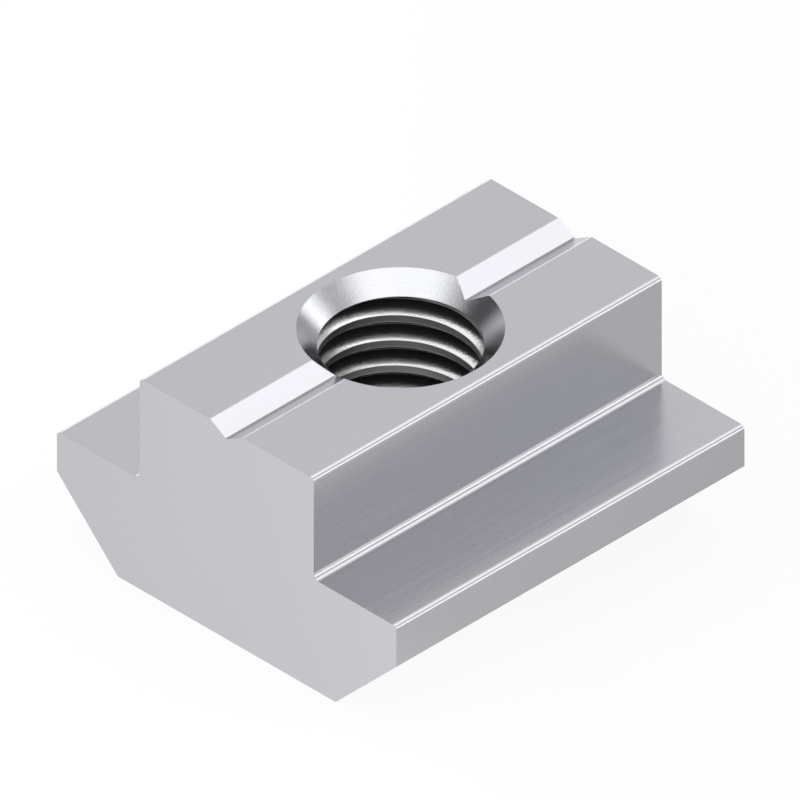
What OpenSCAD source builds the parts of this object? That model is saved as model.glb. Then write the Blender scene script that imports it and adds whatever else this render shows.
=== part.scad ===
// T-slot nut: one block cut from cold drawn T-section bar, drilled and countersunk on its
// centre line for an M8 thread, and zinc plated.
// X runs across the slot, Y along it, and Z out of its mouth.
// The origin is on the hole's axis, in the bottom face.

/* [Bar] */
// Length of the nut along the slot
nut_l = 20; // [16:0.5:40]
// Width over the two wings
wing_w = 19.5; // [17.5:0.1:24]
// Height of the wings, from the bottom face up to the shoulders
wing_h = 5.5; // [4.2:0.1:7.5]
// Leg of the 45 degree bevel under each wing
bevel = 3.5; // [1.5:0.1:4.4]
// Width of the neck, which stands between the lips of the slot
neck_w = 10; // [9.4:0.1:13]
// Height of the neck above the shoulders
neck_h = 5; // [3:0.1:8]

/* [Edges] */
// Radius along the two top edges of the neck
neck_edge_r = 0.25; // [0.1:0.05:0.4]
// Radius along the upper outer edge of each wing
wing_edge_r = 0.25; // [0.1:0.05:0.6]
// Radius in the corner where the neck meets a shoulder
root_r = 0.3; // [0.1:0.05:1]

/* [Groove] */
// Width of the V groove along the middle of the top face
groove_w = 1.9; // [1:0.1:2.4]
// Angle between the two sides of the groove
groove_angle = 120; // [100:5:140]
// Radius along the two lips of the groove
groove_lip_r = 0.2; // [0.05:0.05:0.4]
// Radius along the bottom of the groove
groove_bottom_r = 0.15; // [0.05:0.05:0.4]

/* [Hole] */
// Diameter of the hole inside the crests of the thread
bore_d = 6.8; // [5:0.1:7.4]
// Diameter of the countersink at each face
sink_d = 8.5; // [7.8:0.1:8.8]
// Angle between the two sides of a countersink
sink_angle = 90; // [80:5:120]

/* [Hidden] */
$fn = 96;
// How far a cut runs past the face that it opens
over = 1;
nut_h = wing_h + neck_h;
groove_depth = groove_w / 2 / tan(groove_angle / 2);
// By how many degrees the outline turns at a lip of the groove, and at its bottom
groove_lip_turn = 90 - groove_angle / 2;
groove_bottom_turn = 180 - groove_angle;
sink_depth = (sink_d - bore_d) / 2 / tan(sink_angle / 2);

// What lies between a corner at [0, 0] and the arc of radius r that rounds it. The corner points
// along +X, and the outline turns by this many degrees there.
module corner_sliver(r, turn = 90) {
    reach = r / cos(turn / 2);
    touch = r * cos(turn / 2) - reach;
    half = r * sin(turn / 2);
    difference() {
        polygon([[0, 0], [touch, half], [touch, -half]]);
        translate([-reach, 0]) circle(r);
    }
}

// The wings, with both lower edges bevelled
module wing_section() {
    polygon([
        [-wing_w / 2 + bevel, 0], [wing_w / 2 - bevel, 0],
        [wing_w / 2, bevel], [wing_w / 2, wing_h],
        [-wing_w / 2, wing_h], [-wing_w / 2, bevel],
    ]);
}

// The slivers of one half: the edges of the neck, the wing and the groove's lip that are rounded off
module half_rounding() {
    translate([neck_w / 2, nut_h]) rotate(45) corner_sliver(neck_edge_r);
    translate([wing_w / 2, wing_h]) rotate(45) corner_sliver(wing_edge_r);
    translate([groove_w / 2, nut_h]) rotate(90 + groove_lip_turn / 2)
        corner_sliver(groove_lip_r, groove_lip_turn);
}

// The fillet that fills the corner between one side of the neck and its shoulder
module half_root() {
    translate([neck_w / 2, wing_h]) rotate(225) corner_sliver(root_r);
}

// The V groove, with a round bottom
module groove_section() {
    difference() {
        polygon([[-groove_w / 2, nut_h], [0, nut_h - groove_depth], [groove_w / 2, nut_h]]);
        translate([0, nut_h - groove_depth]) rotate(270)
            corner_sliver(groove_bottom_r, groove_bottom_turn);
    }
}

// Section of the drawn bar, with X across and Y up
module bar_section() {
    difference() {
        union() {
            wing_section();
            translate([-neck_w / 2, 0]) square([neck_w, nut_h]);
            for (side = [0, 1]) mirror([side, 0]) half_root();
        }
        for (side = [0, 1]) mirror([side, 0]) half_rounding();
        groove_section();
    }
}

// The bar cut to length, lying along Y with its middle over the origin
module bar() {
    translate([0, nut_l / 2, 0]) rotate([90, 0, 0]) linear_extrude(nut_l) bar_section();
}

// One countersink with its mouth at z = 0, widening upwards past the face
module countersink() {
    past = over * tan(sink_angle / 2);
    translate([0, 0, -sink_depth])
        cylinder(h = sink_depth + over, d1 = bore_d, d2 = sink_d + 2 * past);
}

module nut_body() {
    color([0.75, 0.75, 0.78])
        difference() {
            bar();
            translate([0, 0, -over]) cylinder(h = nut_h + 2 * over, d = bore_d);
            translate([0, 0, nut_h]) countersink();
            mirror([0, 0, 1]) countersink();
        }
}

nut_body();
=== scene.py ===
import math
import bmesh
import bpy
from mathutils import Matrix, Vector


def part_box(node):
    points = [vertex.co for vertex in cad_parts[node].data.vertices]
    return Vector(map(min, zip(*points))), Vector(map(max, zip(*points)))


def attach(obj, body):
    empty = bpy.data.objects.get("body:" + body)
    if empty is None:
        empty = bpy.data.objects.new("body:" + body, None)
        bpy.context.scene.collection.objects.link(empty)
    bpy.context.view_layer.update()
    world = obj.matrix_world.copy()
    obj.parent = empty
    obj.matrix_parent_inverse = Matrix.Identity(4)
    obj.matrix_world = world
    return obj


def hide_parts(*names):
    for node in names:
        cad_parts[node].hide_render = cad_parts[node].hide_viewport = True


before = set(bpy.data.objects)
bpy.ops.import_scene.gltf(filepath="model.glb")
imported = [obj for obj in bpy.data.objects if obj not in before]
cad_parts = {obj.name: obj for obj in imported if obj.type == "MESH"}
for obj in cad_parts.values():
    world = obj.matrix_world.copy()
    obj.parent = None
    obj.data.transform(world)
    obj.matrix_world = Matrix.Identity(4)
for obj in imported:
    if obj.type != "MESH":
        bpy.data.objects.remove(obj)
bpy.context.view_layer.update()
print("frame loaded")

# X is across the slot, Y along it and Z up out of it. Sizes are in millimetres, the scene in metres.
mm = 0.001
nodeName = "nut_body"
boxLow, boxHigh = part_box(nodeName)
barLength = (boxHigh.y - boxLow.y) / mm
barWidth = (boxHigh.x - boxLow.x) / mm
barHeight = (boxHigh.z - boxLow.z) / mm


def linearColour(hexText):
    # an sRGB hex value as linear red, green, blue and alpha
    levels = [int(hexText[i:i + 2], 16) / 255 for i in (1, 3, 5)]
    return [c / 12.92 if c <= 0.04045 else ((c + 0.055) / 1.055) ** 2.4 for c in levels] + [1.0]


def addNode(tree, kind, inputs=None, **settings):
    # one node with its settings; an input is a plain value or another node's output socket.
    # A Mix node's two colours are its inputs 6 and 7, and its colour comes out of output 2.
    node = tree.nodes.new(kind)
    for name, value in settings.items():
        setattr(node, name, value)
    for name, value in (inputs or {}).items():
        if isinstance(value, bpy.types.NodeSocket):
            tree.links.new(value, node.inputs[name])
        else:
            node.inputs[name].default_value = value
    return node


def newMaterial(name):
    material = bpy.data.materials.new(name)
    material.use_nodes = True
    material.node_tree.nodes.clear()
    return material, material.node_tree


def addObject(name, mesh):
    piece = bpy.data.objects.new(name, mesh)
    bpy.context.scene.collection.objects.link(piece)
    return piece


# How much finer detail each noise has, and the range in which most of its values lie
noiseKinds = {
    "patchDetail": 1.5,
    "markDetail": 3,
    "grainDetail": 2,
    "usual": (0.3, 0.7),
    "usualSum": (0.7, 1.3),
}


def sizedNoise(tree, sizes, detail):
    # noise whose patches measure about these millimetres along X, Y and Z
    place = addNode(tree, "ShaderNodeTexCoord")
    scaled = addNode(tree, "ShaderNodeMapping", {
        "Vector": place.outputs["Object"],
        "Scale": [1 / (size * mm) for size in sizes],
    })
    noise = addNode(tree, "ShaderNodeTexNoise", {
        "Vector": scaled.outputs[0],
        "Scale": 1.0,
        "Detail": detail,
    })
    return noise.outputs[0]


def platedSteel(name, look):
    # zinc plate over worked steel: tint patches, tool marks and the plate's own fine grain, and where
    # given, painted shade towards a thread's root
    material, tree = newMaterial(name)
    patches = sizedNoise(tree, look["patchSize"], noiseKinds["patchDetail"])
    marks = sizedNoise(tree, look["markSize"], noiseKinds["markDetail"])
    grain = sizedNoise(tree, look["grainSize"], noiseKinds["grainDetail"])
    mixed = addNode(tree, "ShaderNodeMath", {0: marks, 1: grain}, operation="ADD")
    ranges = {
        "patch": (patches, noiseKinds["usual"], (0, 1)),
        "markShade": (marks, noiseKinds["usual"], (1 - look["markShade"], 1)),
        "grainShade": (grain, noiseKinds["usual"], (1 - look["grainShade"], 1)),
        "roughness": (mixed.outputs[0], noiseKinds["usualSum"], look["roughness"]),
    }
    if "rootShadeColour" in look:
        # painted shade: the colour darkens unevenly from the hole's wall out to the thread's root, where
        # the thread's recess is in shade
        place = addNode(tree, "ShaderNodeTexCoord")
        flat = addNode(tree, "ShaderNodeVectorMath", {
            0: place.outputs["Object"],
            1: (1, 1, 0),
        }, operation="MULTIPLY")
        radius = addNode(tree, "ShaderNodeVectorMath", {0: flat.outputs[0]}, operation="LENGTH")
        shadeRadius = addNode(tree, "ShaderNodeMath", {
            0: grain,
            1: look["rootShadeScatter"] * mm,
            2: radius.outputs["Value"],
        }, operation="MULTIPLY_ADD")
        ranges["root"] = (shadeRadius.outputs[0], (look["rootShadeFrom"] * mm, look["rootShadeTo"] * mm), (0, 1))
    spread = {}
    for key, (value, usual, wanted) in ranges.items():
        spread[key] = addNode(tree, "ShaderNodeMapRange", {
            "Value": value,
            "From Min": usual[0],
            "From Max": usual[1],
            "To Min": wanted[0],
            "To Max": wanted[1],
        }).outputs[0]
    tint = addNode(tree, "ShaderNodeMix", {
        "Factor": spread["patch"],
        6: linearColour(look["tints"][0]),
        7: linearColour(look["tints"][1]),
    }, data_type="RGBA")
    # painted shade: the colour darkens towards the thread's root
    if "rootShadeColour" in look:
        tint = addNode(tree, "ShaderNodeMix", {
            "Factor": spread["root"],
            6: tint.outputs[2],
            7: linearColour(look["rootShadeColour"]),
        }, data_type="RGBA")
    shade = addNode(tree, "ShaderNodeMath", {
        0: spread["markShade"],
        1: spread["grainShade"],
    }, operation="MULTIPLY")
    colour = addNode(tree, "ShaderNodeVectorMath", {
        0: tint.outputs[2],
        "Scale": shade.outputs[0],
    }, operation="SCALE")
    markBump = addNode(tree, "ShaderNodeBump", {
        "Height": marks,
        "Strength": 1.0,
        "Distance": look["markDepth"] * mm,
    })
    grainBump = addNode(tree, "ShaderNodeBump", {
        "Height": grain,
        "Strength": 1.0,
        "Distance": look["grainDepth"] * mm,
        "Normal": markBump.outputs[0],
    })
    shader = addNode(tree, "ShaderNodeBsdfPrincipled", {
        "Base Color": colour.outputs[0],
        "Metallic": look.get("metallic", 1.0),
        "Roughness": spread["roughness"],
        "Normal": grainBump.outputs[0],
    })
    addNode(tree, "ShaderNodeOutputMaterial", {"Surface": shader.outputs["BSDF"]})
    return material


# Cold drawn flats: the die leaves straight fine lines along Y, and the blue passivation a faint cool
# tint that comes and goes. Real draw lines are a few hundredths of a millimetre wide, and the plate's
# crystals finer still: both are drawn as coarse as they need to show.
coldDrawn = platedSteel("bright zinc-plated steel, cold drawn", {
    "tints": ("#C8C8CC", "#C7C7CA"),
    "patchSize": (7, 9, 7),
    "markSize": (0.16, 14, 0.16),
    "markShade": 0.01,
    "markDepth": 0.00018,
    "grainSize": (0.09, 0.14, 0.09),
    "grainShade": 0.01,
    "grainDepth": 0.00018,
    "roughness": (0.215, 0.255),
})

# Groove's bottom: a duller, darker line along the groove, with the same draw lines. Its darker colour is
# painted shade in the groove's crease.
grooveBottom = platedSteel("dull zinc-plated steel, cold drawn, painted crease shade", {
    "tints": ("#A5A4A9", "#A2A2A6"),
    "patchSize": (3, 3, 3),
    "markSize": (0.16, 14, 0.16),
    "markShade": 0.02,
    "markDepth": 0.0003,
    "grainSize": (0.09, 0.14, 0.09),
    "grainShade": 0.02,
    "grainDepth": 0.0003,
    "roughness": (0.28, 0.35),
})

# Sawn ends: a fine blade leaves level lines a tooth's feed apart, 0.2 mm, almost polished away, and the
# plate there is neutral and even
sawn = platedSteel("bright zinc-plated steel, sawn", {
    "tints": ("#CCCBD0", "#CBCACF"),
    "patchSize": (9, 9, 9),
    "markSize": (11, 0.2, 0.2),
    "markShade": 0.012,
    "markDepth": 0.0006,
    "grainSize": (0.1, 0.1, 0.1),
    "grainShade": 0.01,
    "grainDepth": 0.0003,
    "roughness": (0.22, 0.29),
})

# Countersinks: the cutter's rings, 0.12 mm apart like its feed, run round the cone under a coarse plate
# that sparkles. Its crystals are a few hundredths wide, and are drawn twice as coarse so that they show.
countersunk = platedSteel("bright zinc-plated steel, countersunk", {
    "tints": ("#CCCCCF", "#C9CACC"),
    "patchSize": (4, 4, 4),
    "markSize": (2.5, 2.5, 0.12),
    "markShade": 0.04,
    "markDepth": 0.0015,
    "grainSize": (0.055, 0.055, 0.055),
    "grainShade": 0.08,
    "grainDepth": 0.0075,
    "roughness": (0.11, 0.19),
})

# Drilled wall, left at the crests of the thread: rings a drill's feed apart, 0.1 mm, under a dull, even
# plate. Its dark colour is painted shade of the hole's inside.
drilled = platedSteel("dull zinc-plated steel, drilled, painted shade", {
    "tints": ("#ABABA9", "#A5A5A4"),
    "patchSize": (2, 2, 2),
    "markSize": (1.5, 1.5, 0.1),
    "markShade": 0.04,
    "markDepth": 0.0008,
    "grainSize": (0.08, 0.08, 0.08),
    "grainShade": 0.04,
    "grainDepth": 0.0008,
    "roughness": (0.28, 0.36),
})

# Tapped thread: torn a little by the tap and grainy. Its colour, brighter than the plate elsewhere, is
# painted highlight near the crests, and it darkens into the root as painted shade of the thread's recess.
# The grain is as coarse as it needs to be to show.
tapped = platedSteel("bright zinc-plated steel, tapped", {
    "tints": ("#F6F6F4", "#F0F0EE"),
    "rootShadeColour": "#686867",
    "rootShadeScatter": 0.35,
    "metallic": 0.82,
    "rootShadeFrom": 3.7,  # radius from the hole's axis
    "rootShadeTo": 3.88,
    "patchSize": (2, 2, 2),
    "markSize": (1.5, 1.5, 0.1),
    "markShade": 0.06,
    "markDepth": 0.001,
    "grainSize": (0.08, 0.08, 0.08),
    "grainShade": 0.08,
    "grainDepth": 0.004,
    "roughness": (0.12, 0.19),
})
print("materials made")


# Drawn bar: its section is a T with bevelled wings and a V groove
bar = {
    "neckWidth": 10.0,
    "wingHeight": 5.5,
    "bevel": 3.5,
    "neckEdge": 0.25,
    "wingEdge": 0.25,
    "root": 0.3,
    "lowerEdge": 0.05,  # both edges of each bevel
    "grooveWidth": 1.9,
    "grooveAngle": 120,
    "grooveLip": 0.2,
    "grooveBottom": 0.15,
    "endBreak": 0.015,  # all round both ends
    "arcSteps": 16,
    "endSteps": 3,
    # painted shade: the darker line along the groove's bottom
    "creaseShadeHalf": 0.045,  # half the width of the dull line along the groove's bottom
    "mergeWithin": 0.001,
    "smoothLimit": 25,  # degrees
}
squareOn = 0.9  # a face looks along an axis if its normal's part there is over this


def sectionCorners():
    # right half from the bottom up to the groove, then its mirror image: x, z, radius
    halfWidth, halfNeck, halfGroove = barWidth / 2, bar["neckWidth"] / 2, bar["grooveWidth"] / 2
    grooveDepth = halfGroove / math.tan(math.radians(bar["grooveAngle"] / 2))
    right = [
        (halfWidth - bar["bevel"], 0, bar["lowerEdge"]),
        (halfWidth, bar["bevel"], bar["lowerEdge"]),
        (halfWidth, bar["wingHeight"], bar["wingEdge"]),
        (halfNeck, bar["wingHeight"], bar["root"]),
        (halfNeck, barHeight, bar["neckEdge"]),
        (halfGroove, barHeight, bar["grooveLip"]),
    ]
    left = [(-x, z, r) for x, z, r in reversed(right)]
    return right + [(0, barHeight - grooveDepth, bar["grooveBottom"])] + left


def sectionOutline(inset):
    # the rounded outline as points, drawn in by inset all round
    corners = sectionCorners()
    count = len(corners)
    points = []
    for i in range(count):
        here = Vector(corners[i][:2])
        into = (here - Vector(corners[i - 1][:2])).normalized()
        away = (Vector(corners[(i + 1) % count][:2]) - here).normalized()
        turn = math.atan2(into.x * away.y - into.y * away.x, into.dot(away))
        side = 1 if turn > 0 else -1
        normal = Vector((into.y, -into.x))
        # a round outer edge gets tighter when drawn in, and an inner corner wider
        radius = corners[i][2] - side * inset
        reach = corners[i][2] * math.tan(abs(turn) / 2)
        centre = here - into * reach - normal * corners[i][2] * side
        for k in range(bar["arcSteps"] + 1):
            angle = turn * k / bar["arcSteps"]
            spoke = Matrix.Rotation(angle, 2) @ normal
            points.append(centre + spoke * radius * side)
    return points


def finishMesh(mesh, name):
    bmesh.ops.recalc_face_normals(mesh, faces=mesh.faces)
    result = bpy.data.meshes.new(name)
    mesh.to_mesh(result)
    mesh.free()
    return result


def skinned(mesh, rings, name):
    # a closed solid: walls from each ring of points to the next, and a cap at both ends
    for near, far in zip(rings, rings[1:]):
        for i in range(len(near)):
            mesh.faces.new((near[i - 1], near[i], far[i], far[i - 1]))
    mesh.faces.new(reversed(rings[0]))
    mesh.faces.new(rings[-1])
    return finishMesh(mesh, name)


def barMesh():
    mesh = bmesh.new()
    rings = []
    for end in (-1, 1):
        steps = range(bar["endSteps"] + 1)
        for k in (steps if end < 0 else reversed(steps)):
            angle = math.pi / 2 * k / bar["endSteps"]
            inset = bar["endBreak"] * (1 - math.sin(angle))
            y = end * (barLength / 2 - bar["endBreak"] * (1 - math.cos(angle)))
            ring = [mesh.verts.new((p.x * mm, y * mm, p.y * mm)) for p in sectionOutline(inset)]
            rings.append(ring)
    return skinned(mesh, rings, "bar")


# Hole: drilled and countersunk at both faces
hole = {
    "boreRadius": 3.4,
    "sinkRadius": 4.25,
    "steps": 160,
    "over": 1.0,  # how far a cut runs on past what it cuts
}


def revolvedMesh(name, profile):
    # a closed solid round the Z axis from points (radius, height), lowest first
    mesh = bmesh.new()
    rings = []
    for radius, height in profile:
        ring = []
        for k in range(hole["steps"]):
            turn = 2 * math.pi * k / hole["steps"]
            x, y = radius * math.cos(turn), radius * math.sin(turn)
            ring.append(mesh.verts.new((x * mm, y * mm, height * mm)))
        rings.append(ring)
    return skinned(mesh, rings, name)


def holeMesh():
    depth = hole["sinkRadius"] - hole["boreRadius"]
    wide = hole["sinkRadius"] + hole["over"]
    return revolvedMesh("hole", [
        (wide, -hole["over"]),
        (hole["boreRadius"], depth),
        (hole["boreRadius"], barHeight - depth),
        (wide, barHeight + hole["over"]),
    ])


# Thread: M8, right-hand. A tap's tooth sweeps up the hole and stops just inside each countersink,
# which the picture shows as a clean cone.
thread = {
    "pitch": 1.25,
    "rootRadius": 4.06,
    "flankAngle": 30,
    "rootRound": 0.1,
    "crestRound": 0.03,
    "arcSteps": 4,
    "crestRunOn": 0.3,  # share of the crest's radius
    "crestAtBack": 7.3,
    "backAngle": 135,  # degrees round from X
    "innerRadius": 3.0,
    "lip": 0.04,  # plain wall left inside each countersink
}


def toothProfile():
    # (radius, height) points round the tooth: both halves go from the root's middle in to the bore
    flank = math.radians(thread["flankAngle"])
    steps = thread["arcSteps"]
    turn = math.pi / 2 - flank
    rootHalf = thread["pitch"] / 16
    crestHalf = rootHalf + (thread["rootRadius"] - hole["boreRadius"]) * math.tan(flank)
    upper = []
    rootCentre = Vector((thread["rootRadius"] - thread["rootRound"],
                         rootHalf - thread["rootRound"] * math.tan(turn / 2)))
    for k in range(steps + 1):
        angle = turn * k / steps
        upper.append(rootCentre + thread["rootRound"] * Vector((math.cos(angle), math.sin(angle))))
    crestCentre = Vector((hole["boreRadius"] + thread["crestRound"],
                          crestHalf + thread["crestRound"] * math.tan(turn / 2)))
    for k in range(steps):
        angle = turn * (1 - k / steps)
        upper.append(crestCentre - thread["crestRound"] * Vector((math.cos(angle), math.sin(angle))))
    # the last stretch runs on past the bore's wall, which cuts it off
    last = turn / steps
    runOn = thread["crestRound"] * thread["crestRunOn"]
    upper.append(upper[-1] + runOn * Vector((-math.sin(last), math.cos(last))))
    upper.append(Vector((thread["innerRadius"], upper[-1].y)))
    return [Vector((p.x, -p.y)) for p in reversed(upper)] + upper


def threadMesh():
    profile = toothProfile()
    steps = hole["steps"]
    # at the back a crest's middle is at crestAtBack, half a pitch from the tooth's middle
    start = thread["crestAtBack"] + thread["pitch"] / 2
    backStep = round(thread["backAngle"] / 360 * steps)
    turnsDown = math.ceil((start + hole["over"]) / thread["pitch"]) + 1
    turnsUp = math.ceil((barHeight + hole["over"] - start) / thread["pitch"]) + 1
    mesh = bmesh.new()
    rings = []
    for k in range(-turnsDown * steps, turnsUp * steps + 1):
        angle = 2 * math.pi * (k + backStep) / steps
        lift = start + thread["pitch"] * k / steps
        out = Vector((math.cos(angle), math.sin(angle)))
        ring = []
        for p in profile:
            ring.append(mesh.verts.new((p.x * out.x * mm, p.x * out.y * mm, (lift + p.y) * mm)))
        rings.append(ring)
    return skinned(mesh, rings, "tap")


def combine(piece, other, operation):
    # takes the other solid out of the piece, or keeps what lies in both; new faces get its material
    modifier = piece.modifiers.new("cut", "BOOLEAN")
    modifier.operation = operation
    modifier.solver = "EXACT"
    modifier.object = other
    modifier.material_mode = "TRANSFER"
    bpy.context.view_layer.update()
    graph = bpy.context.evaluated_depsgraph_get()
    result = bpy.data.meshes.new_from_object(piece.evaluated_get(graph))
    piece.modifiers.clear()
    old = piece.data
    piece.data = result
    bpy.data.meshes.remove(old)
    bpy.data.meshes.remove(other.data)


def mergeClose(mesh, distance):
    # the cuts leave points that all but coincide, and slivers between them
    edited = bmesh.new()
    edited.from_mesh(mesh)
    bmesh.ops.remove_doubles(edited, verts=edited.verts, dist=distance * mm)
    edited.to_mesh(mesh)
    edited.free()


def setNormals(mesh, limit):
    # a corner's normal is the mean, by area, of the faces round it within the limit of its own face,
    # so that flats stay flat up to their rounded edges
    nearness = math.cos(math.radians(limit))
    around = [[] for vertex in mesh.vertices]
    for face in mesh.polygons:
        for index in face.vertices:
            around[index].append((face.normal.copy(), face.area / mm ** 2))
    normals = []
    for face in mesh.polygons:
        for index in face.vertices:
            total = Vector()
            for normal, area in around[index]:
                if normal.dot(face.normal) > nearness:
                    total += normal * area
            normals.append(total.normalized())
    mesh.shade_smooth()
    mesh.normals_split_custom_set(normals)


def makeTap():
    tap = addObject("tap", threadMesh())
    tap.data.materials.append(tapped)
    depth = hole["sinkRadius"] - hole["boreRadius"] + thread["lip"]
    wide = thread["rootRadius"] + hole["over"]
    reach = addObject("reach", revolvedMesh("reach", [(wide, depth), (wide, barHeight - depth)]))
    reach.data.materials.append(tapped)
    combine(tap, reach, "INTERSECT")
    return tap


def makeNut():
    nut = addObject("tSlotNut", barMesh())
    nut.data.materials.append(coldDrawn)
    nut.data.materials.append(sawn)
    nut.data.materials.append(grooveBottom)
    for face in nut.data.polygons:
        if abs(face.normal.y) > squareOn:
            face.material_index = 1
        # the groove's bottom gets the darker material, painted shade in the crease
        elif abs(face.center.x) < bar["creaseShadeHalf"] * mm and face.normal.z > 0:
            face.material_index = 2
    drill = addObject("hole", holeMesh())
    drill.data.materials.append(countersunk)
    drill.data.materials.append(drilled)
    # the bore's wall gets the drilled steel, whose dark colour is painted shade
    for face in drill.data.polygons:
        face.material_index = 1 if face.normal.xy.length > squareOn else 0
    combine(nut, drill, "DIFFERENCE")
    combine(nut, makeTap(), "DIFFERENCE")
    mergeClose(nut.data, bar["mergeWithin"])
    setNormals(nut.data, bar["smoothLimit"])
    return nut


nut = makeNut()
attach(nut, "root")
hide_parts(nodeName)
print("nut made", len(nut.data.polygons), "faces")

# Floor and light
studio = {
    "floorSize": 2.0,
    "floorGap": 0.01,
    "floorColour": "#FAFAFA",
    # painted shade on the floor: where it darkens towards the right and away
    "shadeRight": (-3, 8, 0.73),  # millimetres from and to, and the level reached
    "shadeAway": (-14, 0, 0.91),
    "whiteShare": 0.92,  # the rest is matt and takes the shadow
    "worldColour": "#FAFBFF",
    "worldMirrored": 0.515,
    "worldDiffuse": 0.62,
    "darkLevel": 0.11,
    "darkAzimuth": 204,
    "darkElevation": 23,
    "darkAngles": (26, 9),  # degrees from its middle, where it starts and is full
    "boxHeight": 0.4,
    "boxDrop": 0.02,
    "boxTurn": 45,
    "boxPanels": (
        (0, -1.2, 1.2, -1.4, 0.78, 0.36),
        (1, -1.0, 1.0, -1.2, 0.68, 0.36),
        (2, -0.84, 0.84, -1.0, -0.3, 0.51),
        (2, 0.4, 0.84, -0.3, 0.58, 0.51),
        (2, -0.4, 0.4, 0.38, 0.58, 0.51),
    ),
    "panelDistance": 0.4,
    "panels": (
        ("right strip", 32, 16, 6, 28, 1.6),
        ("dim right strip", 48, 16, 6, 31, 0.85),
        ("far right strip", 68.5, 25, 6, 28, 1.6),
        ("left strip", 144, 24, 0, 20, 1.4),
        ("left panel", 138, 46, 20, 56, 0.325),
        ("upper left panel", 142, 36, 44, 57, 0.2),
        ("low left panel", 173, 34, 0, 16, 0.26),
    ),
}


def makeFloor():
    # matt, but mostly white to the camera and in mirrors; its colour darkens to the right and away as
    # painted shade of the nut's shadow side, which mirrors show too
    material, tree = newMaterial("pale studio floor, matt")
    path = addNode(tree, "ShaderNodeLightPath")
    mirrored = addNode(tree, "ShaderNodeMath", {
        0: path.outputs["Is Glossy Ray"],
        1: path.outputs["Is Transmission Ray"],
    }, operation="MAXIMUM")
    seen = addNode(tree, "ShaderNodeMath", {
        0: path.outputs["Is Camera Ray"],
        1: mirrored.outputs[0],
    }, operation="MAXIMUM")
    share = addNode(tree, "ShaderNodeMath", {
        0: seen.outputs[0],
        1: studio["whiteShare"],
    }, operation="MULTIPLY")
    place = addNode(tree, "ShaderNodeTexCoord")
    shades = []
    # painted shade: the floor's colour darkens to the right and away, standing in for the nut's shadow
    for side, key in ((1, "shadeRight"), (-1, "shadeAway")):
        along = addNode(tree, "ShaderNodeVectorMath", {
            0: place.outputs["Object"],
            1: (side * math.sqrt(0.5), math.sqrt(0.5), 0),
        }, operation="DOT_PRODUCT")
        first, last, level = studio[key]
        shades.append(addNode(tree, "ShaderNodeMapRange", {
            "Value": along.outputs["Value"],
            "From Min": first * mm,
            "From Max": last * mm,
            "To Min": 1.0,
            "To Max": level,
        }))
    shade = addNode(tree, "ShaderNodeMath", {
        0: shades[0].outputs[0],
        1: shades[1].outputs[0],
    }, operation="MULTIPLY")
    colour = addNode(tree, "ShaderNodeVectorMath", {
        0: linearColour(studio["floorColour"])[:3],
        "Scale": shade.outputs[0],
    }, operation="SCALE")
    white = addNode(tree, "ShaderNodeMix", {
        "Factor": mirrored.outputs[0],
        6: (1, 1, 1, 1),
        7: shade.outputs[0],
    }, data_type="RGBA")
    matt = addNode(tree, "ShaderNodeBsdfDiffuse", {"Color": colour.outputs[0]})
    glow = addNode(tree, "ShaderNodeEmission", {"Color": white.outputs[2], "Strength": 1.0})
    mix = addNode(tree, "ShaderNodeMixShader", {
        0: share.outputs[0],
        1: matt.outputs[0],
        2: glow.outputs[0],
    })
    addNode(tree, "ShaderNodeOutputMaterial", {"Surface": mix.outputs[0]})
    mesh = bmesh.new()
    half = studio["floorSize"] / 2
    corners = ((-half, -half), (half, -half), (half, half), (-half, half))
    mesh.faces.new([mesh.verts.new((x, y, 0)) for x, y in corners])
    floor = addObject("floor", finishMesh(mesh, "floor"))
    floor.data.materials.append(material)
    # a hair below the nut, so that their faces don't coincide
    floor.location.z = boxLow.z - studio["floorGap"] * mm


def direction(azimuth, elevation):
    turn, lift = math.radians(azimuth), math.radians(elevation)
    return Vector((math.cos(turn) * math.cos(lift), math.sin(turn) * math.cos(lift), math.sin(lift)))


def makeWorld():
    # an even white room with one soft dark side, which gives the bright metal its contrast
    world = bpy.data.worlds.new("white studio")
    bpy.context.scene.world = world
    world.use_nodes = True
    tree = world.node_tree
    tree.nodes.clear()
    place = addNode(tree, "ShaderNodeTexCoord")
    near = addNode(tree, "ShaderNodeVectorMath", {
        0: place.outputs["Generated"],
        1: direction(studio["darkAzimuth"], studio["darkElevation"]),
    }, operation="DOT_PRODUCT")
    outer, inner = [math.cos(math.radians(angle)) for angle in studio["darkAngles"]]
    level = addNode(tree, "ShaderNodeMapRange", {
        "Value": near.outputs["Value"],
        "From Min": outer,
        "From Max": inner,
        "To Min": studio["worldMirrored"],
        "To Max": studio["darkLevel"],
    }, interpolation_type="SMOOTHSTEP")
    path = addNode(tree, "ShaderNodeLightPath")
    seen = addNode(tree, "ShaderNodeMath", {
        0: path.outputs["Is Camera Ray"],
        1: path.outputs["Is Glossy Ray"],
    }, operation="MAXIMUM")
    seenOrThrough = addNode(tree, "ShaderNodeMath", {
        0: seen.outputs[0],
        1: path.outputs["Is Transmission Ray"],
    }, operation="MAXIMUM")
    strength = addNode(tree, "ShaderNodeMapRange", {
        "Value": seenOrThrough.outputs[0],
        "To Min": studio["worldDiffuse"],
        "To Max": level.outputs[0],
    })
    background = addNode(tree, "ShaderNodeBackground", {
        "Color": linearColour(studio["worldColour"]),
        "Strength": strength.outputs[0],
    })
    addNode(tree, "ShaderNodeOutputWorld", {"Surface": background.outputs[0]})


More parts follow.
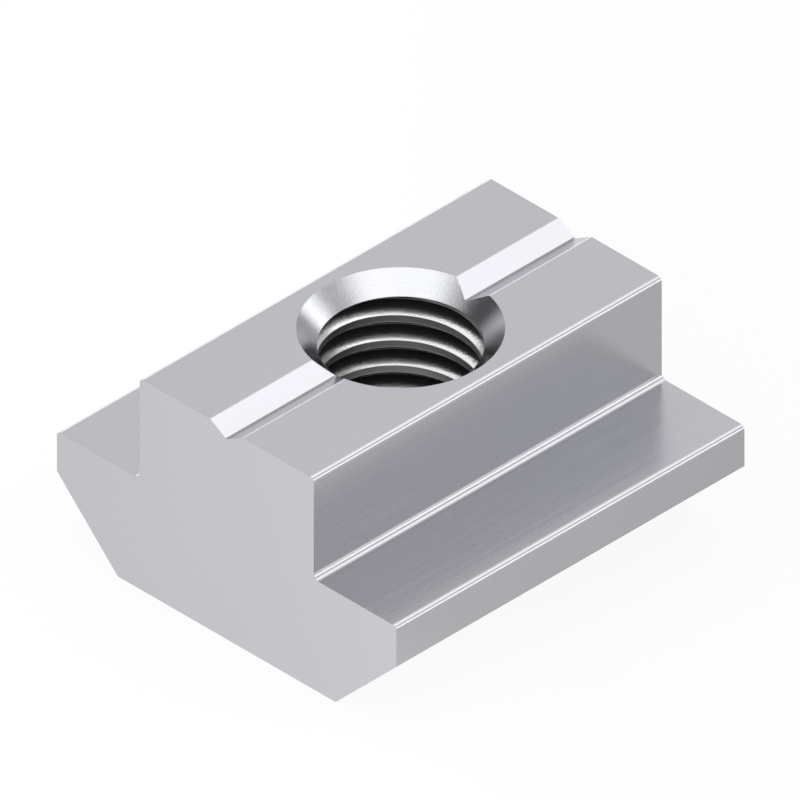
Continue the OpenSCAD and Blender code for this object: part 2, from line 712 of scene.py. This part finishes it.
def addPanel(name, place, target, size, level, turn=0):
    # a soft panel lamp; in a mirror it adds its level to the room behind it, where 1 is white
    lamp = bpy.data.lights.new(name, "AREA")
    lamp.shape = "RECTANGLE"
    lamp.size, lamp.size_y = size
    lamp.energy = level * math.pi * size[0] * size[1]
    panel = bpy.data.objects.new(name, lamp)
    bpy.context.scene.collection.objects.link(panel)
    aim = (Vector(target) - Vector(place)).to_track_quat("-Z", "Y").to_matrix()
    panel.matrix_world = Matrix.Translation(place) @ (aim @ Matrix.Rotation(turn, 3, "Z")).to_4x4()
    panel.visible_camera = False


def makeSoftbox():
    # a wide panel, a smaller one under it and three strips under that, round a middle that they leave
    # dimmer; each is its layer, its left, right, near and far edge in heights of the box, and its level
    turn = math.radians(studio["boxTurn"])
    for layer, left, right, near, far, level in studio["boxPanels"]:
        height = studio["boxHeight"] * (1 - studio["boxDrop"] * layer)
        middle = Vector(((left + right) / 2, (near + far) / 2)) * height
        middle.rotate(Matrix.Rotation(turn, 2))
        size = ((right - left) * height, (far - near) * height)
        addPanel("softbox", (middle.x, middle.y, height), (middle.x, middle.y, 0), size, level, turn)


def makePanels():
    # an upright panel is its name, azimuth, width, lowest and highest elevation in degrees, and level
    distance = studio["panelDistance"]
    for name, azimuth, width, low, high, level in studio["panels"]:
        bottom, top = [distance * math.tan(math.radians(angle)) for angle in (low, high)]
        across = 2 * distance * math.tan(math.radians(width / 2))
        middle = direction(azimuth, 0) * distance + Vector((0, 0, (bottom + top) / 2))
        addPanel(name, middle, (0, 0, middle.z), (across, top - bottom), level)


makeFloor()
makeWorld()
makeSoftbox()
makePanels()
print("floor and light made")

# The picture is a true isometric view
picture = {
    "azimuth": 45,
    "elevation": math.degrees(math.atan(math.sqrt(0.5))),
    "heightShown": 32.48,
    "aim": (-0.020, -0.020, 6.902),
    "distance": 120,
    "clip": (1, 5000),
}


def makeCamera():
    data = bpy.data.cameras.new("camera")
    data.type = "ORTHO"
    data.ortho_scale = picture["heightShown"] * mm
    data.clip_start, data.clip_end = [edge * mm for edge in picture["clip"]]
    camera = bpy.data.objects.new("camera", data)
    bpy.context.scene.collection.objects.link(camera)
    back = direction(picture["azimuth"] - 90, picture["elevation"])
    camera.location = (Vector(picture["aim"]) + back * picture["distance"]) * mm
    camera.rotation_euler = (-back).to_track_quat("-Z", "Y").to_euler()
    bpy.context.scene.camera = camera


makeCamera()
bpy.context.scene.view_settings.view_transform = "Standard"
